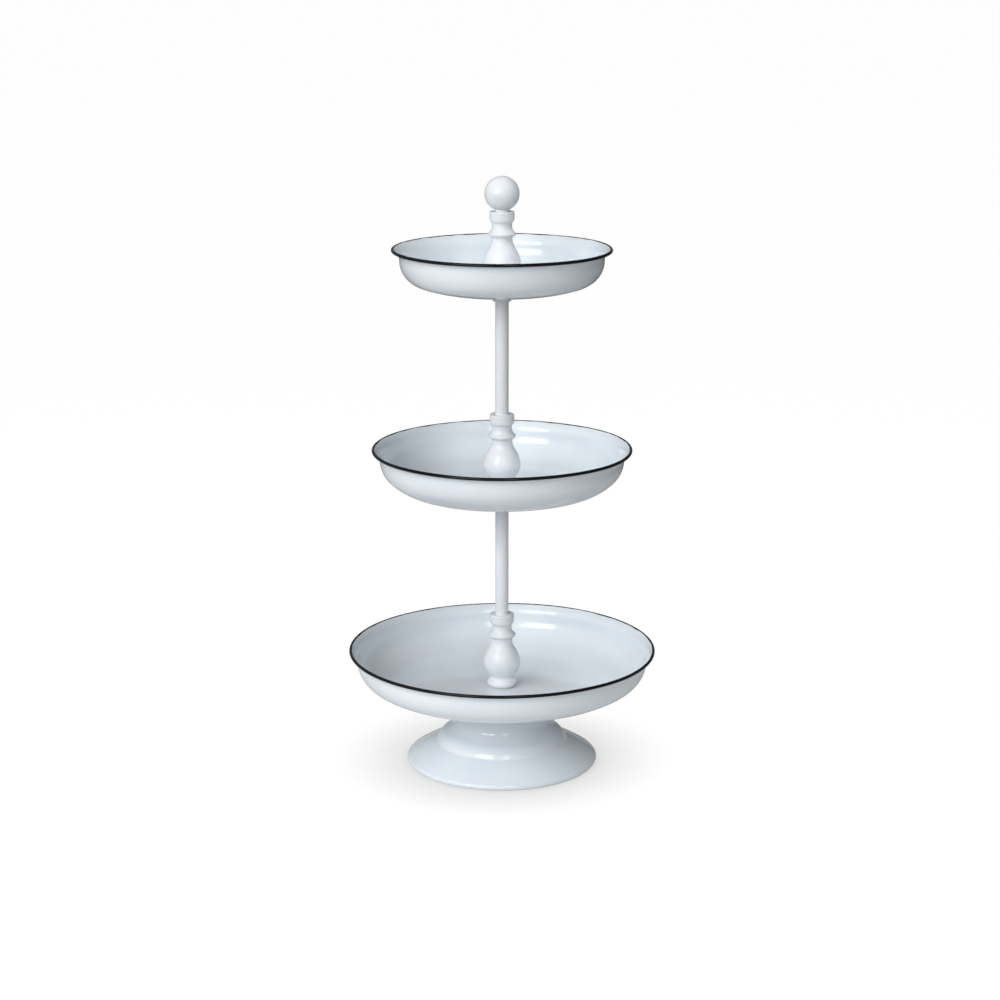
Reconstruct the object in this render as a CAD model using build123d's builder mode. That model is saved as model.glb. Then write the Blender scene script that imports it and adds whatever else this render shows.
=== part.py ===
"""Three-tier enamel cake stand, in millimetres, +Z up.

The origin is on the floor, under the centre of the stem.
Every piece is turned about the Z axis, apart from the hexagon nut.
"""
import os
from math import asin, atan2, degrees, sin

from build123d import *

# Bowls, from the bottom up: rim diameter, height of the underside, and depth to the rim's centre
BOTTOM_DIAMETER = 305.0
MIDDLE_DIAMETER = 255.0
TOP_DIAMETER = 213.0
BOTTOM_UNDERSIDE = 74.8
MIDDLE_UNDERSIDE = 277.8
TOP_UNDERSIDE = 475.5
BOTTOM_DEPTH = 41.2
MIDDLE_DEPTH = 42.3
TOP_DEPTH = 40.5
BOTTOM_FLAT_RADIUS = 95.0
MIDDLE_FLAT_RADIUS = 77.0
TOP_FLAT_RADIUS = 39.0

# What the bowls and the pedestal share
SHEET = 1.2
RIM_RADIUS = 1.6
CORNER_RADIUS = 25.0
LIP_HEIGHT = 10.0
LIP_FLARE = 6.3
STUD_HOLE_RADIUS = 3.3

# Pedestal
HEM_OUTER_RADIUS = 95.0
HEM_ROUNDING = 3.0
HEM_FLAT = 5.0
HEM_TURN = 147.0
CREASE = (65.2, 21.0)
STEP_MIDDLE = (61.6, 27.6)
STEP_TOP = (55.5, 32.6)
FLANK_FOOT = (47.2, 43.9)
CROWN_RADIUS = 42.7
CROWN_ROUNDING = 4.0

# Fibre rings and washers
RING_THICKNESS = 1.5
BOTTOM_GASKET_RADIUS = 34.0
FOOT_WASHER_RADIUS = 12.0

# Threads are left plain: M6, with a running clearance in the threaded holes
STUD_RADIUS = 3.0
THREAD_CLEARANCE = 0.05
STUD_IN_BALUSTER = 20.0
STUD_BELOW_FOOT = 18.0
NUT_ACROSS_FLATS = 10.0
NUT_HEIGHT = 6.0
PLATE_RADIUS = 25.0
PLATE_THICKNESS = 2.0

# Stem
TUBE_RADIUS = 6.5
TUBE_BORE_RADIUS = 5.0
TUBE_FIT = 0.03
TUBE_SEATING = 30.0
SOCKET_LENGTH = 20.0
SEAT_RADIUS = 17.0
SEAT_THICKNESS = 2.0
SEAT_HUB_RADIUS = 9.0
SEAT_HUB_HEIGHT = 8.0

# Baluster, from its foot up: radius and height of each feature of the turning
FOOT_FLAT_RADIUS = 12.6
FOOT_BEAD = (14.6, 2.8)
FOOT_BEAD_END = (13.3, 5.4)
FOOT_NECK = (11.8, 10.2)
BELLY_LOW = (17.3, 19.0)
BELLY = (18.4, 25.6)
SHOULDER = (15.9, 34.2)
NECK_START = (10.3, 46.0)
NECK_END = (10.3, 49.8)
RING_UNDERSIDE = (12.5, 51.1)
RING = (13.8, 53.4)
RING_TOP = (10.7, 56.3)
WAIST_START = (9.7, 60.2)
WAIST_END = (9.7, 63.2)
COLLAR_ROUND = (11.3, 64.9)
COLLAR_START = (12.0, 67.4)
BALUSTER_HEIGHT = 74.3
COLLAR_EDGE = 0.9

# Finial
BALL_RADIUS = 16.75
BALL_CENTRE_ABOVE_COLLAR = 16.9
SPIGOT_DEPTH = 20.0

# Heights that follow
BOTTOM_FOOT = BOTTOM_UNDERSIDE + SHEET + RING_THICKNESS
MIDDLE_FOOT = MIDDLE_UNDERSIDE + SHEET + RING_THICKNESS
TOP_FOOT = TOP_UNDERSIDE + SHEET + RING_THICKNESS
CROWN_TOP = BOTTOM_UNDERSIDE - RING_THICKNESS
LOWER_TUBE_TOP = MIDDLE_UNDERSIDE - RING_THICKNESS
UPPER_TUBE_TOP = TOP_UNDERSIDE - RING_THICKNESS
THREAD_RADIUS = STUD_RADIUS + THREAD_CLEARANCE

os.makedirs("parts", exist_ok=True)


def write(piece, name):
    """Name one finished piece and write it to its own file."""
    piece.part.label = name
    export_step(piece.part, f"parts/{name}.step")


def make_bowl(name, diameter, underside, depth, flat_radius):
    """A pressed bowl: flat floor, rounded side, flared lip and a rolled rim."""
    rim_centre = diameter / 2 - RIM_RADIUS
    side_width = rim_centre - LIP_FLARE - flat_radius
    side_height = depth - LIP_HEIGHT
    # The rounded side is a large arc and the corner arc, together one quarter turn
    sweep_radius = (side_width**2 + side_height**2 - 2 * side_width * CORNER_RADIUS) / (
        2 * (side_height - CORNER_RADIUS)
    )
    sweep_angle = degrees(asin((side_width - CORNER_RADIUS) / (sweep_radius - CORNER_RADIUS)))
    lip_angle = 2 * atan2(LIP_FLARE, LIP_HEIGHT)
    lip_radius = LIP_HEIGHT / sin(lip_angle)
    with BuildPart() as bowl:
        with BuildSketch(Plane.XZ):
            with BuildLine():
                floor = Line((STUD_HOLE_RADIUS, underside), (flat_radius, underside))
                sweep = JernArc(floor @ 1, floor % 1, sweep_radius, sweep_angle)
                corner = JernArc(sweep @ 1, sweep % 1, CORNER_RADIUS, 90 - sweep_angle)
                lip = JernArc(corner @ 1, corner % 1, lip_radius, -degrees(lip_angle))
                offset(amount=SHEET, side=Side.LEFT)
            make_face()
            with Locations(lip @ 1):
                Circle(RIM_RADIUS)
        revolve(axis=Axis.Z)
    write(bowl, name)


def make_baluster(name, foot):
    """A turned vase with a foot bead, a sharp ring and a collar, bored for its stud and tube."""
    with BuildPart() as baluster:
        with BuildSketch(Plane.XZ) as section:
            with BuildLine():
                base = Line((0, 0), (FOOT_FLAT_RADIUS, 0))
                bead = ThreePointArc(base @ 1, FOOT_BEAD, FOOT_BEAD_END)
                cove = TangentArc(FOOT_NECK, bead @ 1, tangent=(0, -1))
                vase = Spline(cove @ 0, BELLY_LOW, BELLY, SHOULDER, NECK_START, tangents=[(1, 1), (0, 1)])
                neck = Line(vase @ 1, NECK_END)
                under = ThreePointArc(neck @ 1, RING_UNDERSIDE, RING)
                over = ThreePointArc(under @ 1, RING_TOP, WAIST_START)
                waist = Line(over @ 1, WAIST_END)
                rounding = ThreePointArc(waist @ 1, COLLAR_ROUND, COLLAR_START)
                collar = Line(rounding @ 1, (COLLAR_START[0], BALUSTER_HEIGHT))
                top = Line(collar @ 1, (0, BALUSTER_HEIGHT))
                Line(top @ 1, base @ 0)
            make_face()
            corner = section.vertices().sort_by(Axis.Y)[-2:].sort_by(Axis.X)[-1]
            fillet(corner, COLLAR_EDGE)
        revolve(axis=Axis.Z)
        with BuildSketch():
            Circle(STUD_RADIUS)
        extrude(amount=STUD_IN_BALUSTER, mode=Mode.SUBTRACT)
        with BuildSketch(Plane.XY.offset(BALUSTER_HEIGHT)):
            Circle(TUBE_RADIUS + TUBE_FIT)
        extrude(amount=-TUBE_SEATING, mode=Mode.SUBTRACT)
    baluster.part.move(Location((0, 0, foot)))
    write(baluster, name)


def make_ring(name, low, high, outer_radius, inner_radius=0.0):
    """A plain disc, tube, washer or rod between two heights."""
    with BuildPart() as ring:
        with BuildSketch(Plane.XY.offset(low)):
            Circle(outer_radius)
            if inner_radius:
                Circle(inner_radius, mode=Mode.SUBTRACT)
        extrude(amount=high - low)
    write(ring, name)


def make_seat(name, tube_top):
    """The flanged collar on a tube's top, which carries the bowl above."""
    with BuildPart() as seat:
        with BuildSketch(Plane.XY.offset(tube_top)):
            Circle(SEAT_RADIUS)
        extrude(amount=-SEAT_THICKNESS)
        fillet(seat.edges().sort_by(Axis.Z)[0], SEAT_THICKNESS / 4)
        with BuildSketch(Plane.XY.offset(tube_top)):
            Circle(SEAT_HUB_RADIUS)
        extrude(amount=-SEAT_HUB_HEIGHT)
        with BuildSketch(Plane.XY.offset(tube_top)):
            Circle(TUBE_RADIUS + TUBE_FIT)
        extrude(amount=-SEAT_HUB_HEIGHT, mode=Mode.SUBTRACT)
    write(seat, name)


# Pedestal: flat crown, steep flank, rounded step, spreading skirt, and a rounded edge turned in at the floor
hem_centre = HEM_OUTER_RADIUS - HEM_ROUNDING
with BuildPart() as pedestal:
    with BuildSketch(Plane.XZ):
        with BuildLine():
            hem = Line((hem_centre - HEM_FLAT, 0), (hem_centre, 0))
            edge = JernArc(hem @ 1, hem % 1, HEM_ROUNDING, HEM_TURN)
            skirt = TangentArc(edge @ 1, CREASE, tangent=edge % 1)
            step = ThreePointArc(skirt @ 1, STEP_MIDDLE, STEP_TOP)
            cove = TangentArc(step @ 1, FLANK_FOOT, tangent=step % 1)
            flank = Line(cove @ 1, (CROWN_RADIUS, CROWN_TOP - CROWN_ROUNDING))
            crown_edge = TangentArc(
                (CROWN_RADIUS - CROWN_ROUNDING, CROWN_TOP), flank @ 1, tangent=(1, 0)
            )
            Line(crown_edge @ 0, (STUD_HOLE_RADIUS, CROWN_TOP))
            offset(amount=SHEET, side=Side.LEFT)
        make_face()
    revolve(axis=Axis.Z)
write(pedestal, "pedestal")

# Under the crown: stiffening plate and weld nut
plate_top = CROWN_TOP - SHEET
plate_bottom = plate_top - PLATE_THICKNESS
make_ring("crown_plate", plate_bottom, plate_top, PLATE_RADIUS, STUD_HOLE_RADIUS)
with BuildPart() as base_nut:
    with BuildSketch(Plane.XY.offset(plate_bottom)):
        RegularPolygon(NUT_ACROSS_FLATS / 2, 6, major_radius=False)
        Circle(THREAD_RADIUS, mode=Mode.SUBTRACT)
    extrude(amount=-NUT_HEIGHT)
write(base_nut, "base_nut")

# Bowls
make_bowl("bottom_tray", BOTTOM_DIAMETER, BOTTOM_UNDERSIDE, BOTTOM_DEPTH, BOTTOM_FLAT_RADIUS)
make_bowl("middle_tray", MIDDLE_DIAMETER, MIDDLE_UNDERSIDE, MIDDLE_DEPTH, MIDDLE_FLAT_RADIUS)
make_bowl("top_tray", TOP_DIAMETER, TOP_UNDERSIDE, TOP_DEPTH, TOP_FLAT_RADIUS)

# The ring under each bowl
make_ring("bottom_gasket", CROWN_TOP, BOTTOM_UNDERSIDE, BOTTOM_GASKET_RADIUS, STUD_HOLE_RADIUS)
make_ring("middle_gasket", LOWER_TUBE_TOP, MIDDLE_UNDERSIDE, SEAT_RADIUS, STUD_HOLE_RADIUS)
make_ring("top_gasket", UPPER_TUBE_TOP, TOP_UNDERSIDE, SEAT_RADIUS, STUD_HOLE_RADIUS)

# In each bowl: a baluster with its stud and the washer under its foot
for tier, foot in (("lower", BOTTOM_FOOT), ("middle", MIDDLE_FOOT), ("top", TOP_FOOT)):
    make_baluster(f"{tier}_baluster", foot)
    make_ring(f"{tier}_stud", foot - STUD_BELOW_FOOT, foot + STUD_IN_BALUSTER, STUD_RADIUS)
    make_ring(f"{tier}_foot_washer", foot - RING_THICKNESS, foot, FOOT_WASHER_RADIUS, THREAD_RADIUS)

# Above each of the two lower balusters: a tube with its socket and seat
for tier, foot, tube_top in (
    ("lower", BOTTOM_FOOT, LOWER_TUBE_TOP),
    ("upper", MIDDLE_FOOT, UPPER_TUBE_TOP),
):
    tube_bottom = foot + BALUSTER_HEIGHT - TUBE_SEATING
    make_ring(f"{tier}_tube", tube_bottom, tube_top, TUBE_RADIUS, TUBE_BORE_RADIUS)
    make_ring(f"{tier}_socket", tube_top - SOCKET_LENGTH, tube_top, TUBE_BORE_RADIUS, THREAD_RADIUS)
    make_seat(f"{tier}_seat", tube_top)

# Finial: a ball with a spigot in the top baluster's bore
collar_top = TOP_FOOT + BALUSTER_HEIGHT
with BuildPart() as finial_ball:
    with BuildSketch(Plane.XY.offset(collar_top - SPIGOT_DEPTH)):
        Circle(TUBE_RADIUS)
    extrude(amount=SPIGOT_DEPTH + BALL_CENTRE_ABOVE_COLLAR)
    with Locations((0, 0, collar_top + BALL_CENTRE_ABOVE_COLLAR)):
        Sphere(BALL_RADIUS)
write(finial_ball, "finial_ball")
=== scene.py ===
"""Looks of the three-tier enamel cake stand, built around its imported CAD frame."""
import math

import bpy
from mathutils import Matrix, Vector, noise


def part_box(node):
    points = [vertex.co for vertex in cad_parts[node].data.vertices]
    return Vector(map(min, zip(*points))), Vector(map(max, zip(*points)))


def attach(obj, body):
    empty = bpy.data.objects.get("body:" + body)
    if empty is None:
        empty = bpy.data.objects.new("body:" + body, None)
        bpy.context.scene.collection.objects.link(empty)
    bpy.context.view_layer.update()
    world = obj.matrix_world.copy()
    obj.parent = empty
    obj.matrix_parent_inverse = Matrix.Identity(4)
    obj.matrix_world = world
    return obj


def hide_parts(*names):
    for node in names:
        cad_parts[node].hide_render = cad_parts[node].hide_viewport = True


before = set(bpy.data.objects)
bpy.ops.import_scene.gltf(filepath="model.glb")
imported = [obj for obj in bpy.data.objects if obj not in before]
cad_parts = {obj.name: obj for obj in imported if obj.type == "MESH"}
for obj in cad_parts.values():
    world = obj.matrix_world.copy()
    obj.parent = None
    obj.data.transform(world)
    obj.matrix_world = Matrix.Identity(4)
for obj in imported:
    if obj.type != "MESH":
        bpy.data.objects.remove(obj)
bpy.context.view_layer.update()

MM = 0.001
TURN = 2 * math.pi

# ---------------------------------------------------------------- sizes that the boxes don't give
SHEET = 1.2 * MM
BEAD = 1.6 * MM
STUD_HOLE = 3.3 * MM
STUD = 3.0 * MM
THREAD_HOLE = 3.05 * MM
TUBE = 6.5 * MM
TUBE_BORE = 5.0 * MM
TUBE_SEATING = 30.0 * MM
PITCH = 1.0 * MM

# How finely pieces are turned about the stem, from the bowls and pedestal to the studs
SEGMENTS = 256
TURNED_SEGMENTS = 160
NUT_SEGMENTS = 144
SEAT_SEGMENTS = 128
SMALL_SEGMENTS = 96
THREAD_SEGMENTS = 32
AXIS = 1e-6
SAME_POINT = 1e-7

# Edges steeper than this stay crisp, in degrees
SHARP = 40
NUT_SHARP = 25
THREAD_SHARP = 80

# Bowls. LIP_CUT points of the lip's underside make way for the crevice under the bead, and each rim
# wanders by up to RIM_IN inward and RIM_DOWN downward.
FLAT_RADIUS = {"bottom_tray": 95.0 * MM, "middle_tray": 77.0 * MM, "top_tray": 39.0 * MM}
CORNER = 25.0 * MM
LIP_HEIGHT = 10.0 * MM
LIP_FLARE = 6.3 * MM
LIP_CUT = 3
RIM_IN, RIM_DOWN = 0.35 * MM, 0.5 * MM

# Enamel on the rims. The black coat lies from its lower to its upper edge on the bead, tapers into the white
# at both, and each edge wanders. Angles are in degrees round the bead, anticlockwise from straight out.
BEAD_START, BEAD_END = 255, 475
ENAMEL_COAT = 0.06 * MM
COAT_BITE = 0.03 * MM
COAT_CORE = 0.25 * MM
COAT_TAPER = 7
COAT_STEPS = 18
LOWER_EDGE, LOWER_WANDER = -104, 16
UPPER_EDGE, UPPER_WANDER, UPPER_DRIPS = 131, 26, 10

# Roughly how many waves each wander has round the rim, what is added to the bowl's seed for it, and the
# step between the bowls' own seeds
RIPPLE_GAIN = 1.6
RIM_WAVES, LOWER_WAVES, UPPER_WAVES, DRIP_WAVES = 1.5, 7, 9, 40
DOWN_SEED, LOWER_SEED, UPPER_SEED, DRIP_SEED = 9, 3, 5, 6
SEED_APART = 20.0

# Pedestal
HEM_ROUNDING = 3.0 * MM
HEM_FLAT = 5.0 * MM
HEM_TURN = math.radians(147)
CREASE = (65.2 * MM, 21.0 * MM)
STEP_MIDDLE = (61.6 * MM, 27.6 * MM)
STEP_TOP = (55.5 * MM, 32.6 * MM)
FLANK_FOOT = (47.2 * MM, 43.9 * MM)
CROWN = 42.7 * MM
CROWN_ROUNDING = 4.0 * MM
ENAMEL_EASING = 4

# Balusters: (radius, height) of each feature of the turning, from the foot up
FOOT_FLAT = 12.6 * MM
FOOT_BEAD = (14.6 * MM, 2.8 * MM)
FOOT_BEAD_END = (13.3 * MM, 5.4 * MM)
FOOT_NECK = (11.8 * MM, 10.2 * MM)
VASE_START = (0.72, 0.72)
VASE = [
    (17.3 * MM, 19.0 * MM),
    (18.4 * MM, 25.6 * MM),
    (15.9 * MM, 34.2 * MM),
    (10.3 * MM, 46.0 * MM),
]
NECK_END = (10.3 * MM, 49.8 * MM)
RING_UNDERSIDE = (12.5 * MM, 51.1 * MM)
RING = (13.8 * MM, 53.4 * MM)
RING_TOP = (10.7 * MM, 56.3 * MM)
WAIST_START = (9.7 * MM, 60.2 * MM)
WAIST_END = (9.7 * MM, 63.2 * MM)
COLLAR_ROUND = (11.3 * MM, 64.9 * MM)
COLLAR_START = (12.0 * MM, 67.4 * MM)
COLLAR_EDGE = 0.9 * MM
STUD_SEATING = 20.0 * MM
PAINT_EASING = 2

# Rings, tubes, seats, nut, studs and finial. NUT_FACE is the width of the nut's lower face as a share of its
# flats, THREAD_ROWS the rows of points for each pitch, and POLE_GAP the angle left open at the ball's top.
RING_EDGE = 0.4 * MM
PAINT_FILLET = 0.6 * MM
SEAT_FLANGE = 2.0 * MM
SEAT_HUB = 9.0 * MM
SEAT_COVE = 2.5 * MM
SEAT_EDGE = 0.6 * MM
NUT_FLATS = 10.0 * MM
NUT_FACE = 0.96
NUT_CHAMFER = math.radians(30)
NUT_COUNTERSINK = 0.4 * MM
THREAD_DEPTH = 0.61 * MM
THREAD_SLOPE, THREAD_CREST = 1.25, 0.12
THREAD_ROWS = 8
SPIGOT = 20.0 * MM
POLE_GAP = 0.01

# The body that each tier's pieces ride on
COLUMNS = {"lower": "lower_column", "middle": "upper_column", "top": "finial"}
TUBES = {"lower": "lower_column", "upper": "upper_column"}
GASKETS = {"bottom": "base", "middle": "lower_column", "top": "upper_column"}
WASHERS = {"lower": "lower_lift", "middle": "upper_lift", "top": "finial_lift"}

# ---------------------------------------------------------------- colours and light
# A pair of colours or roughnesses is the two ends of a slow drift over the surface
WHITE_GLAZE, WHITE_GLAZE_ROUGHNESS = ((0.72, 0.775, 0.82), (0.765, 0.815, 0.855)), (0.07, 0.12)
BLACK_GLAZE, BLACK_GLAZE_ROUGHNESS = ((0.002, 0.0023, 0.003), (0.005, 0.0055, 0.0075)), (0.12, 0.22)
BLACK_GLAZE_SHINE = 0.2
PAINT, PAINT_ROUGHNESS = ((0.74, 0.77, 0.80), (0.775, 0.80, 0.83)), (0.2, 0.28)
PLATING, PLATING_ROUGHNESS = ((0.55, 0.56, 0.57), (0.72, 0.73, 0.73)), (0.42, 0.25)
BOARD, BOARD_ROUGHNESS = ((0.50, 0.485, 0.45), (0.70, 0.69, 0.65)), (0.7, 0.88)
ENAMEL_IOR, PAINT_IOR = 1.52, 1.5

# The part of a noise field's range that is stretched over such a pair. Roughness uses CLOUD_SPAN.
COLOUR_SPAN = (0.35, 0.65)
CLOUD_SPAN = (0.3, 0.7)
FLECK_SPAN = (0.35, 0.7)

# The camera's place in metres from the foot of the stem, its lens and sensor in millimetres, how far it sees
CAMERA = (-0.0019, -2.25, 0.841)
CAMERA_PITCH = math.radians(14.28)
LENS = 85.0
SENSOR = 36.0
SIGHT = 100.0

# The floor: its glow to the camera, which ambient occlusion dims near the stand as a painted contact shadow,
# its own shade to the camera, and what it bounces, near the stand and far from it
FLOOR_HALF = 30.0
FLOOR_GLOW, FLOOR_SHADE, FLOOR_BOUNCE = (0.66, 0.96), 0.08, (0.74, 0.15)
PAINTED_SHADOW_REACH, PAINTED_SHADOW_SPAN = 0.1, (0.4, 0.95)
TABLE = (0.4, 1.3)

# The studio's brightness along each direction: the direction's range, and the factor at its ends
STUDIO_TINT = (0.97, 0.985, 1, 1)
WORLD = (
    ("X", (-1, 1), (0.8, 0.13)),
    ("Y", (-1, 1), (1.25, 0.4)),
    ("Z", (0, 1), (0.95, 0.8)),
)

# Softboxes: azimuth and elevation in degrees, width and height, watts, and whether gloss mirrors them.
# Azimuth 0 is at the camera, and -90 to its left.
LIGHT_AIM = Vector((0, 0, 0.28))
LIGHT_DISTANCE = 2.2
LIGHTS = {
    "window": (-33, 24, (1.1, 1.0), 20, True),
    "pane": (8, 24, (0.4, 1.0), 6.5, True),
    "key": (-62, 27, (1.0, 0.8), 9, False),
    "fill": (66, 30, (0.8, 0.8), 3, False),
    "top": (70, 66, (0.8, 0.8), 12, False),
}


# ---------------------------------------------------------------- outlines: lists of (radius, height)
# Each run of points takes the number of steps it is drawn in.
def arc(centre, radius, start, end, steps):
    """Points on a circle from one angle to another, in radians, anticlockwise from +radius."""
    angles = [start + (end - start) * i / steps for i in range(steps + 1)]
    return [(centre[0] + radius * math.cos(a), centre[1] + radius * math.sin(a)) for a in angles]


def arc_through(a, b, c, steps):
    """Points on the circle through three points, from a by way of b to c."""
    (ax, ay), (bx, by), (cx, cy) = a, b, c
    d = 2 * (ax * (by - cy) + bx * (cy - ay) + cx * (ay - by))
    sa, sb, sc = ax * ax + ay * ay, bx * bx + by * by, cx * cx + cy * cy
    centre = (
        (sa * (by - cy) + sb * (cy - ay) + sc * (ay - by)) / d,
        (sa * (cx - bx) + sb * (ax - cx) + sc * (bx - ax)) / d,
    )
    start, middle, end = (math.atan2(p[1] - centre[1], p[0] - centre[0]) for p in (a, b, c))
    turn = (end - start) % TURN
    if (middle - start) % TURN > turn:
        turn -= TURN
    return arc(centre, math.dist(a, centre), start, start + turn, steps)


def arc_from(start, heading, end, steps):
    """Points on the arc that leaves start along heading, an angle, and ends at end."""
    chord = math.atan2(end[1] - start[1], end[0] - start[0])
    half = (chord - heading + math.pi) % TURN - math.pi
    radius = math.dist(start, end) / 2 / math.sin(half)
    centre = (start[0] - radius * math.sin(heading), start[1] + radius * math.cos(heading))
    first = math.atan2(start[1] - centre[1], start[0] - centre[0])
    return arc(centre, abs(radius), first, first + 2 * half, steps)


def curve(points, steps, start, end):
    """A smooth curve through the points, which leaves along start and arrives along end."""
    tangents = [
        tuple((after[n] - before[n]) * 0.5 for n in (0, 1)) for before, after in zip(points, points[2:])
    ]
    first_size, last_size = math.dist(points[0], points[1]), math.dist(points[-2], points[-1])
    tangents.insert(0, (start[0] * first_size, start[1] * first_size))
    tangents.append((end[0] * last_size, end[1] * last_size))
    out = []
    for i in range(len(points) - 1):
        ends = (points[i], tangents[i], points[i + 1], tangents[i + 1])
        for k in range(steps):
            t = k / steps
            weights = (2 * t**3 - 3 * t**2 + 1, t**3 - 2 * t**2 + t, -2 * t**3 + 3 * t**2, t**3 - t**2)
            out.append(tuple(sum(w * end[n] for w, end in zip(weights, ends)) for n in (0, 1)))
    return out + [points[-1]]


def straight(a, b, steps):
    """Evenly spaced points from a to b."""
    return [tuple(a[n] + (b[n] - a[n]) * i / steps for n in (0, 1)) for i in range(steps + 1)]


def joined(*runs):
    """The runs end to end, without the points that repeat."""
    out = []
    for run in runs:
        for point in run:
            if not out or math.dist(out[-1], point) > SAME_POINT:
                out.append(point)
    return out


def unit(a, b):
    """The direction from a to b."""
    size = math.dist(a, b)
    return ((b[0] - a[0]) / size, (b[1] - a[1]) / size)


def heading(line):
    """The angle at which a line ends."""
    return math.atan2(line[-1][1] - line[-2][1], line[-1][0] - line[-2][0])


def eased(line, passes):
    """The line with its corners softened, as by a coat of paint or enamel. Its ends stay."""
    for _ in range(passes):
        line = [
            line[0],
            *(
                tuple((before[n] + 2 * here[n] + after[n]) / 4 for n in (0, 1))
                for before, here, after in zip(line, line[1:], line[2:])
            ),
            line[-1],
        ]
    return line


def inset(line, distance):
    """The line moved to its left by distance."""
    out = []
    for i, point in enumerate(line):
        before, after = line[max(i - 1, 0)], line[min(i + 1, len(line) - 1)]
        size = math.dist(before, after)
        along = ((after[0] - before[0]) / size, (after[1] - before[1]) / size)
        out.append((point[0] - along[1] * distance, point[1] + along[0] * distance))
    return out


# ---------------------------------------------------------------- meshes
def new_object(name, vertices, faces, sharp=SHARP):
    """A smooth-shaded mesh object, with the edges steeper than sharp degrees left crisp."""
    mesh = bpy.data.meshes.new(name)
    mesh.from_pydata(vertices, [], faces)
    mesh.validate()
    mesh.shade_smooth()
    mesh.set_sharp_from_angle(angle=math.radians(sharp))
    piece = bpy.data.objects.new(name, mesh)
    bpy.context.scene.collection.objects.link(piece)
    return piece


def turned(name, section, segments, sharp=SHARP):
    """A solid of rings about the stem: section(angle) gives its closed outline at that angle.

    Each outline is anticlockwise in (radius, height), and has the same number of points. A point on
    the stem's axis is on it at every angle.
    """
    outlines = [section(TURN * s / segments) for s in range(segments)]
    vertices, faces, rings = [], [], []
    for i, (first, height) in enumerate(outlines[0]):
        if first < AXIS:
            rings.append([len(vertices)])
            vertices.append((0, 0, height))
            continue
        rings.append([len(vertices) + s for s in range(segments)])
        for s in range(segments):
            angle = TURN * s / segments
            r, z = outlines[s][i]
            vertices.append((r * math.cos(angle), r * math.sin(angle), z))
    for i, ring in enumerate(rings):
        above = rings[(i + 1) % len(rings)]
        if len(ring) == len(above) == 1:
            continue
        for s in range(segments):
            t = (s + 1) % segments
            corners = [ring[s % len(ring)], ring[t % len(ring)], above[t % len(above)], above[s % len(above)]]
            faces.append([c for n, c in enumerate(corners) if c not in corners[:n]])
    return new_object(name, vertices, faces, sharp)


def lathe(name, outline, segments=SEGMENTS):
    """A closed outline turned about the stem."""
    return turned(name, lambda angle: outline, segments)


def place(piece, body, node, slot):
    """Say what a finished piece rides on, stands for and is made of."""
    piece.data.materials.append(MATERIALS[slot])
    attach(piece, body)
    if node:
        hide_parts(node)


def ripple(angle, seed, reach, waves=RIM_WAVES):
    """A slow, seeded wander round the stem, from 0 to reach."""
    here = Vector((waves * math.cos(angle), waves * math.sin(angle), seed))
    return reach * (0.5 + 0.5 * max(-1.0, min(1.0, RIPPLE_GAIN * noise.noise(here))))


# ---------------------------------------------------------------- materials
def shader(name):
    """A new material, with its node tree, its Principled shader and its object coordinates."""
    material = bpy.data.materials.new(name)
    material.use_nodes = True
    tree = material.node_tree
    coordinates = tree.nodes.new("ShaderNodeTexCoord").outputs["Object"]
    return material, tree, tree.nodes["Principled BSDF"], coordinates


def noise_field(tree, coordinates, scale, detail, roughness=0.5):
    """A noise texture's value, with its scale in waves per metre."""
    node = tree.nodes.new("ShaderNodeTexNoise")
    node.inputs["Scale"].default_value = scale
    node.inputs["Detail"].default_value = detail
    node.inputs["Roughness"].default_value = roughness
    tree.links.new(coordinates, node.inputs["Vector"])
    return node.outputs["Fac"]


def ramp(tree, value, low, high, ends):
    """The value stretched from low..high over the ends: two numbers, or two colours."""
    if isinstance(ends[0], (int, float)):
        node = tree.nodes.new("ShaderNodeMapRange")
        for socket, number in zip(("From Min", "From Max", "To Min", "To Max"), (low, high, *ends)):
            node.inputs[socket].default_value = number
        tree.links.new(value, node.inputs["Value"])
        return node.outputs["Result"]
    node = tree.nodes.new("ShaderNodeValToRGB")
    node.color_ramp.elements[0].position = low
    node.color_ramp.elements[1].position = high
    for element, colour in zip(node.color_ramp.elements, ends):
        element.color = (*colour, 1.0)
    tree.links.new(value, node.inputs["Fac"])
    return node.outputs["Color"]


def bumps(tree, shader_node, *layers):
    """Height fields laid over each other: (value, height in metres, strength)."""
    normal = None
    for value, height, strength in layers:
        node = tree.nodes.new("ShaderNodeBump")
        node.inputs["Distance"].default_value = height
        node.inputs["Strength"].default_value = strength
        tree.links.new(value, node.inputs["Height"])
        if normal:
            tree.links.new(normal, node.inputs["Normal"])
        normal = node.outputs["Normal"]
    tree.links.new(normal, shader_node.inputs["Normal"])


def drift(tree, shader_node, field, span, colours, roughness):
    """Let the colour and the roughness follow a noise field, the colour over a span of its own."""
    tree.links.new(ramp(tree, field, *span, colours), shader_node.inputs["Base Color"])
    tree.links.new(ramp(tree, field, *CLOUD_SPAN, roughness), shader_node.inputs["Roughness"])


def enamel(name, colours, roughness, shine=0.5):
    """Fired glass enamel: deep gloss, a faint orange peel and slow swells where it pooled."""
    material, tree, glaze, here = shader(name)
    pooling = noise_field(tree, here, scale=14.0, detail=3.0)
    peel = noise_field(tree, here, scale=420.0, detail=1.0)
    swell = noise_field(tree, here, scale=34.0, detail=1.0)
    drift(tree, glaze, pooling, COLOUR_SPAN, colours, roughness)
    glaze.inputs["IOR"].default_value = ENAMEL_IOR
    glaze.inputs["Specular IOR Level"].default_value = shine
    bumps(tree, glaze, (swell, 0.35 * MM, 0.5), (peel, 0.02 * MM, 0.5))
    return material


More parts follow.
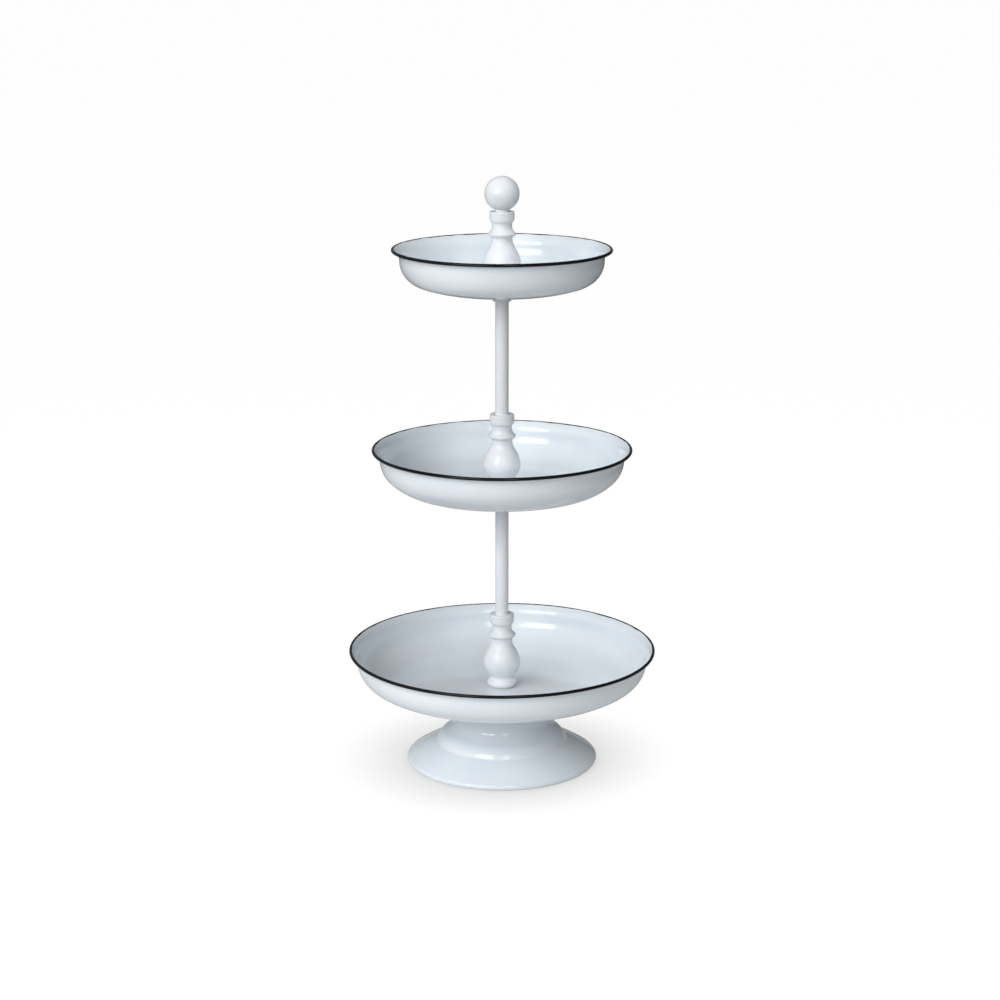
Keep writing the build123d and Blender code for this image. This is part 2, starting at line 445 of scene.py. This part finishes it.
def sprayed_paint(name):
    """Satin-gloss spray paint over turned metal."""
    material, tree, coat, here = shader(name)
    tone = noise_field(tree, here, scale=40.0, detail=3.0)
    peel = noise_field(tree, here, scale=900.0, detail=2.0)
    drift(tree, coat, tone, COLOUR_SPAN, PAINT, PAINT_ROUGHNESS)
    coat.inputs["IOR"].default_value = PAINT_IOR
    bumps(tree, coat, (peel, 0.03 * MM, 0.5))
    return material


def zinc_plate(name):
    """Bright zinc over rolled and drawn steel."""
    material, tree, metal, here = shader(name)
    cloud = noise_field(tree, here, scale=160.0, detail=4.0)
    grain = noise_field(tree, here, scale=2400.0, detail=2.0)
    drift(tree, metal, cloud, CLOUD_SPAN, PLATING, PLATING_ROUGHNESS)
    metal.inputs["Metallic"].default_value = 1.0
    bumps(tree, metal, (grain, 0.02 * MM, 0.6))
    return material


def pressed_fibre(name):
    """Vulcanised fibre: matt, flecked and faintly laid."""
    material, tree, board, here = shader(name)
    fleck = noise_field(tree, here, scale=1500.0, detail=5.0, roughness=0.7)
    drift(tree, board, fleck, FLECK_SPAN, BOARD, BOARD_ROUGHNESS)
    bumps(tree, board, (fleck, 0.05 * MM, 0.7))
    return material


MATERIALS = {
    "white_enamel": enamel("white_enamel", WHITE_GLAZE, WHITE_GLAZE_ROUGHNESS),
    "rim_enamel": enamel("rim_enamel", BLACK_GLAZE, BLACK_GLAZE_ROUGHNESS, BLACK_GLAZE_SHINE),
    "white_paint": sprayed_paint("white_paint"),
    "plated_steel": zinc_plate("plated_steel"),
    "fibre": pressed_fibre("fibre"),
}


# ---------------------------------------------------------------- trays
def bowl_sides(tray):
    """A bowl's underside and inner face, each from its hole out to the lip, and its bead's centre."""
    low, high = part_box(tray)
    flat, under = FLAT_RADIUS[tray], low.z
    rim, depth = high.x - BEAD, high.z - BEAD - low.z
    width, height = rim - LIP_FLARE - flat, depth - LIP_HEIGHT
    sweep = (width**2 + height**2 - 2 * width * CORNER) / (2 * (height - CORNER))
    turn = math.asin((width - CORNER) / (sweep - CORNER))
    lip_turn = 2 * math.atan2(LIP_FLARE, LIP_HEIGHT)
    lip = LIP_HEIGHT / math.sin(lip_turn)
    corner = (flat + (sweep - CORNER) * math.sin(turn), under + sweep - (sweep - CORNER) * math.cos(turn))

    def side(inward):
        """The profile at a distance inside the underside."""
        return joined(
            straight((STUD_HOLE, under + inward), (flat, under + inward), 12),
            arc((flat, under + sweep), sweep - inward, -math.pi / 2, turn - math.pi / 2, 26),
            arc(corner, CORNER - inward, turn - math.pi / 2, 0, 18),
            arc((rim - LIP_FLARE + lip, under + height), lip + inward, math.pi, math.pi - lip_turn, 14),
        )

    return side(0), side(SHEET), (rim, under + depth)


def make_tray(tray, seed):
    """A white bowl with its rolled rim, slightly out of true, and the black enamel on that rim."""
    outside, inside, rim = bowl_sides(tray)
    white = BEAD - ENAMEL_COAT
    bead = arc(rim, white, math.radians(BEAD_START), math.radians(BEAD_END), 22)
    lip = outside[:-LIP_CUT]
    crevice = curve([lip[-1], bead[0]], 5, unit(lip[-2], lip[-1]), unit(bead[0], bead[1]))
    outline = joined(lip, crevice, bead, inside[-2::-1])
    foot, top = outline[0][1], rim[1]

    def sway(angle):
        """How far the rim is pulled in and down at an angle."""
        return ripple(angle, seed, RIM_IN), ripple(angle, seed + DOWN_SEED, RIM_DOWN)

    def white_section(angle):
        """The bowl, pulled with its rim and less towards its foot."""
        inward, down = sway(angle)
        shares = [((z - foot) / (top - foot)) ** 2 for r, z in outline]
        return [(r - inward * share, z - down * share) for (r, z), share in zip(outline, shares)]

    def black_section(angle):
        """The dipped coat: a skin on the bead, whose two edges wander."""
        inward, down = sway(angle)
        lower = ripple(angle, seed + LOWER_SEED, 1, LOWER_WAVES) - 0.5
        upper = ripple(angle, seed + UPPER_SEED, 1, UPPER_WAVES) - 0.5
        drips = ripple(angle, seed + DRIP_SEED, 1, DRIP_WAVES)
        low = math.radians(LOWER_EDGE + LOWER_WANDER * lower)
        high = math.radians(UPPER_EDGE + UPPER_WANDER * upper + UPPER_DRIPS * drips)
        skin = []
        for i in range(COAT_STEPS + 1):
            share = i / COAT_STEPS
            edge = min(1.0, COAT_TAPER * share, COAT_TAPER * (1 - share))
            radius = white - COAT_BITE + (BEAD - white + COAT_BITE) * math.sqrt(edge * (2 - edge))
            at = low + (high - low) * share
            skin.append((rim[0] + radius * math.cos(at), rim[1] + radius * math.sin(at)))
        core = arc(rim, white - COAT_CORE, high, low, COAT_STEPS)
        return [(r - inward, z - down) for r, z in skin + core]

    place(turned(f"{tray}_shell", white_section, SEGMENTS), tray, tray, "white_enamel")
    place(turned(f"{tray}_rim_enamel", black_section, 2 * SEGMENTS), tray, None, "rim_enamel")


for order, tray in enumerate(FLAT_RADIUS):
    make_tray(tray, SEED_APART * order)


# ---------------------------------------------------------------- pedestal
def make_pedestal():
    """A hollow foot: flat crown, steep flank, rounded step, spreading skirt and a hem on the floor."""
    low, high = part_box("pedestal")
    hem = high.x - HEM_ROUNDING
    underneath = straight((hem - HEM_FLAT, 0), (hem, 0), 3)
    edge = arc((hem, HEM_ROUNDING), HEM_ROUNDING, -math.pi / 2, HEM_TURN - math.pi / 2, 20)
    flank_top = (CROWN, high.z - CROWN_ROUNDING)
    skirt = arc_from(edge[-1], HEM_TURN, CREASE, 40)
    step = arc_through(CREASE, STEP_MIDDLE, STEP_TOP, 24)
    cove = arc_from(STEP_TOP, heading(step), FLANK_FOOT, 20)
    flank = straight(FLANK_FOOT, flank_top, 30)
    shoulder = arc_from(flank_top, heading(flank), (CROWN - CROWN_ROUNDING, high.z), 8)
    crown = straight(shoulder[-1], (STUD_HOLE, high.z), 10)
    side = eased(joined(skirt, step, cove, flank), ENAMEL_EASING)
    outside = joined(underneath, edge, side, shoulder, crown)
    inside = inset(outside, SHEET)
    outline = joined(outside, inside[::-1])
    place(lathe("pedestal_shell", outline), "base", "pedestal", "white_enamel")


make_pedestal()


# ---------------------------------------------------------------- balusters
def make_baluster(tier, body):
    """A turned vase, with the paint softening its sharp lines."""
    low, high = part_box(f"{tier}_baluster")
    foot, height = low.z, high.z - low.z
    rounding = COLLAR_START[0] - COLLAR_EDGE
    turning = joined(
        arc_through((FOOT_FLAT, 0), FOOT_BEAD, FOOT_BEAD_END, 12),
        arc_from(FOOT_NECK, -math.pi / 2, FOOT_BEAD_END, 8)[::-1],
        curve([FOOT_NECK, *VASE], 10, VASE_START, (0, 1)),
        straight(VASE[-1], NECK_END, 4),
        arc_through(NECK_END, RING_UNDERSIDE, RING, 10),
        arc_through(RING, RING_TOP, WAIST_START, 12),
        straight(WAIST_START, WAIST_END, 4),
        arc_through(WAIST_END, COLLAR_ROUND, COLLAR_START, 10),
        straight(COLLAR_START, (COLLAR_START[0], height - COLLAR_EDGE), 6),
    )
    profile = joined(
        straight((STUD, 0), (FOOT_FLAT, 0), 4),
        eased(turning, PAINT_EASING),
        arc((rounding, height - COLLAR_EDGE), COLLAR_EDGE, 0, math.pi / 2, 6),
        straight((rounding, height), (TUBE, height), 4),
        [(TUBE, height - TUBE_SEATING), (0, height - TUBE_SEATING), (0, STUD_SEATING), (STUD, STUD_SEATING)],
    )
    outline = [(r, foot + z) for r, z in profile]
    piece = lathe(f"{tier}_baluster_turning", outline, TURNED_SEGMENTS)
    place(piece, body, f"{tier}_baluster", "white_paint")


for tier, body in COLUMNS.items():
    make_baluster(tier, body)


# ---------------------------------------------------------------- plain turned pieces
def ring_outline(low, high, outer, inner, edge):
    """A disc or washer with its outer edges rounded."""
    return joined(
        [(inner, low)],
        arc((outer - edge, low + edge), edge, -math.pi / 2, 0, 4),
        arc((outer - edge, high - edge), edge, 0, math.pi / 2, 4),
        [(inner, high)],
    )


def make_ring(node, body, inner, slot):
    """A plain ring the size of its CAD node."""
    low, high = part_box(node)
    outline = ring_outline(low.z, high.z, high.x, inner, RING_EDGE)
    place(lathe(f"{node}_ring", outline, SMALL_SEGMENTS), body, node, slot)


make_ring("crown_plate", "base", STUD_HOLE, "plated_steel")
for tier, body in GASKETS.items():
    make_ring(f"{tier}_gasket", body, STUD_HOLE, "fibre")
for tier, body in WASHERS.items():
    make_ring(f"{tier}_foot_washer", body, THREAD_HOLE, "fibre")


def make_tube(tier, body):
    """A stem tube, with the paint's fillet where it leaves the baluster and meets its seat."""
    low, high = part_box(f"{tier}_tube")
    collar, seat = low.z + TUBE_SEATING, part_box(f"{tier}_seat")[0].z
    fillet = PAINT_FILLET
    outline = joined(
        [(TUBE_BORE, low.z), (TUBE, low.z)],
        straight((TUBE, low.z), (TUBE, collar), 4),
        arc((TUBE + fillet, collar + fillet), fillet, -math.pi / 2, -math.pi, 5),
        straight((TUBE, collar + fillet), (TUBE, seat - fillet), 24),
        arc((TUBE + fillet, seat - fillet), fillet, math.pi, math.pi / 2, 5),
        [(TUBE, seat), (TUBE, high.z), (TUBE_BORE, high.z)],
    )
    place(lathe(f"{tier}_tube_stem", outline, SMALL_SEGMENTS), body, f"{tier}_tube", "white_paint")


def make_seat(tier, body):
    """The collar on a tube's top: a flange, a cove and a short hub."""
    low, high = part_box(f"{tier}_seat")
    cove, edge = SEAT_COVE, SEAT_EDGE
    under = high.z - SEAT_FLANGE
    outline = joined(
        [(TUBE, low.z)],
        arc((SEAT_HUB - edge, low.z + edge), edge, -math.pi / 2, 0, 5),
        arc((SEAT_HUB + cove, under - cove), cove, math.pi, math.pi / 2, 8),
        arc((high.x - edge, under + edge), edge, -math.pi / 2, 0, 5),
        [(high.x, high.z), (TUBE, high.z)],
    )
    place(lathe(f"{tier}_seat_collar", outline, SEAT_SEGMENTS), body, f"{tier}_seat", "white_paint")


def plate_socket(tier):
    """Zinc plate on the CAD's own socket, which is hidden in its tube."""
    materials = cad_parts[f"{tier}_socket"].data.materials
    materials.clear()
    materials.append(MATERIALS["plated_steel"])


for tier, body in TUBES.items():
    make_tube(tier, body)
    make_seat(tier, body)
    plate_socket(tier)


# ---------------------------------------------------------------- studs and nut
def make_stud(tier, body):
    """A right-handed screw thread from end to end, chamfered at both."""
    low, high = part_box(f"{tier}_stud")
    rows = round((high.z - low.z) / PITCH * THREAD_ROWS)

    def section(angle):
        points = [(0, low.z)]
        for i in range(rows + 1):
            height = low.z + (high.z - low.z) * i / rows
            phase = ((height - low.z) / PITCH - angle / TURN) % 1
            flank = THREAD_SLOPE * (1 - abs(2 * phase - 1)) - THREAD_CREST
            depth = THREAD_DEPTH * min(1.0, max(0.0, flank))
            from_end = min(height - low.z, high.z - height)
            points.append((min(STUD - depth, STUD - THREAD_DEPTH + from_end), height))
        return points + [(0, high.z)]

    piece = turned(f"{tier}_stud_thread", section, THREAD_SEGMENTS, THREAD_SHARP)
    place(piece, body, f"{tier}_stud", "plated_steel")


for tier, body in COLUMNS.items():
    make_stud(tier, body)


def make_nut():
    """A hexagon nut, its corners chamfered where it faces down."""
    low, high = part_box("base_nut")
    face = NUT_FACE * NUT_FLATS / 2

    def section(angle):
        across = NUT_FLATS / 2 / math.cos((angle + math.pi / 6) % (math.pi / 3) - math.pi / 6)
        drop = max(0.0, across - face) * math.tan(NUT_CHAMFER)
        return [
            (THREAD_HOLE, low.z + NUT_COUNTERSINK),
            (THREAD_HOLE + NUT_COUNTERSINK, low.z),
            (face, low.z),
            (across, low.z + drop),
            (across, high.z),
            (THREAD_HOLE, high.z),
        ]

    piece = turned("base_nut_hexagon", section, NUT_SEGMENTS, NUT_SHARP)
    place(piece, "base", "base_nut", "plated_steel")


make_nut()


# ---------------------------------------------------------------- finial
def make_finial():
    """A turned ball on its spigot."""
    low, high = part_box("finial_ball")
    ball = high.x
    centre = high.z - ball
    foot = math.acos(TUBE / ball)
    outline = joined(
        [(0, low.z), (TUBE, low.z), (TUBE, low.z + SPIGOT)],
        arc((0, centre), ball, -foot, math.pi / 2 - POLE_GAP, 64),
        [(0, high.z)],
    )
    piece = lathe("finial_ball_turning", outline, TURNED_SEGMENTS)
    place(piece, "finial", "finial_ball", "white_paint")


make_finial()


# ---------------------------------------------------------------- studio
def show_camera(tree, shown, others, surface):
    """Give the camera's rays the shown shader, and all other rays the others one."""
    path = tree.nodes.new("ShaderNodeLightPath")
    mix = tree.nodes.new("ShaderNodeMixShader")
    tree.links.new(path.outputs["Is Camera Ray"], mix.inputs[0])
    tree.links.new(others.outputs[0], mix.inputs[1])
    tree.links.new(shown.outputs[0], mix.inputs[2])
    tree.links.new(mix.outputs[0], surface)


def make_floor():
    """A plain pale sheet that runs past the view, paper white to the camera, with a contact shadow painted
    into its glow and faint cast shadows from the lamps.
    """
    half = FLOOR_HALF
    corners = [(-half, -half, 0), (half, -half, 0), (half, half, 0), (-half, half, 0)]
    floor = new_object("floor", corners, [(0, 1, 2, 3)])
    material, tree, paper, position = shader("floor")
    paper.inputs["Base Color"].default_value = (FLOOR_SHADE, FLOOR_SHADE, FLOOR_SHADE, 1)
    paper.inputs["Roughness"].default_value = 1.0
    paper.inputs["Specular IOR Level"].default_value = 0.0
    paper.inputs["Emission Color"].default_value = (1, 1, 1, 1)
    # Ambient occlusion near the stand dims the floor's glow: a painted contact shadow.
    painted_contact_shadow = tree.nodes.new("ShaderNodeAmbientOcclusion")
    painted_contact_shadow.inputs["Distance"].default_value = PAINTED_SHADOW_REACH
    glow = ramp(tree, painted_contact_shadow.outputs["AO"], *PAINTED_SHADOW_SPAN, FLOOR_GLOW)
    tree.links.new(glow, paper.inputs["Emission Strength"])
    bounce = tree.nodes.new("ShaderNodeBsdfDiffuse")
    distance = tree.nodes.new("ShaderNodeVectorMath")
    distance.operation = "LENGTH"
    tree.links.new(position, distance.inputs[0])
    tree.links.new(ramp(tree, distance.outputs["Value"], *TABLE, FLOOR_BOUNCE), bounce.inputs["Color"])
    show_camera(tree, paper, bounce, tree.nodes["Material Output"].inputs["Surface"])
    floor.data.materials.append(material)


def make_world():
    """A grey studio, lighter to the left and overhead and darkest behind, plain white to the camera."""
    world = bpy.data.worlds.new("studio")
    bpy.context.scene.world = world
    world.use_nodes = True
    tree = world.node_tree
    white = tree.nodes["Background"]
    white.inputs["Color"].default_value = (1, 1, 1, 1)
    direction = tree.nodes.new("ShaderNodeTexCoord").outputs["Generated"]
    split = tree.nodes.new("ShaderNodeSeparateXYZ")
    tree.links.new(direction, split.inputs[0])
    strength = None
    for axis, (low, high), ends in WORLD:
        factor = ramp(tree, split.outputs[axis], low, high, ends)
        if strength:
            product = tree.nodes.new("ShaderNodeMath")
            product.operation = "MULTIPLY"
            tree.links.new(strength, product.inputs[0])
            tree.links.new(factor, product.inputs[1])
            factor = product.outputs[0]
        strength = factor
    studio = tree.nodes.new("ShaderNodeBackground")
    studio.inputs["Color"].default_value = STUDIO_TINT
    tree.links.new(strength, studio.inputs["Strength"])
    show_camera(tree, white, studio, tree.nodes["World Output"].inputs["Surface"])


def make_light(name, azimuth, elevation, size, power, glossy):
    """A softbox that faces the stand."""
    lamp = bpy.data.lights.new(name, "AREA")
    lamp.shape = "RECTANGLE"
    lamp.size, lamp.size_y = size
    lamp.energy = power
    box = bpy.data.objects.new(name, lamp)
    turn, lift = math.radians(azimuth), math.radians(elevation)
    back = Vector((math.sin(turn) * math.cos(lift), -math.cos(turn) * math.cos(lift), math.sin(lift)))
    box.location = LIGHT_AIM + LIGHT_DISTANCE * back
    box.rotation_euler = back.to_track_quat("Z", "Y").to_euler()
    box.visible_glossy = glossy
    bpy.context.scene.collection.objects.link(box)


def make_camera():
    """A long lens a little above the stand, looking slightly down."""
    lens = bpy.data.cameras.new("camera")
    lens.lens = LENS
    lens.sensor_width = SENSOR
    lens.clip_end = SIGHT
    camera = bpy.data.objects.new("camera", lens)
    camera.location = CAMERA
    camera.rotation_euler = (math.pi / 2 - CAMERA_PITCH, 0, 0)
    bpy.context.scene.collection.objects.link(camera)
    bpy.context.scene.camera = camera


make_floor()
make_world()
for name, settings in LIGHTS.items():
    make_light(name, *settings)
make_camera()
bpy.context.scene.view_settings.view_transform = "Standard"
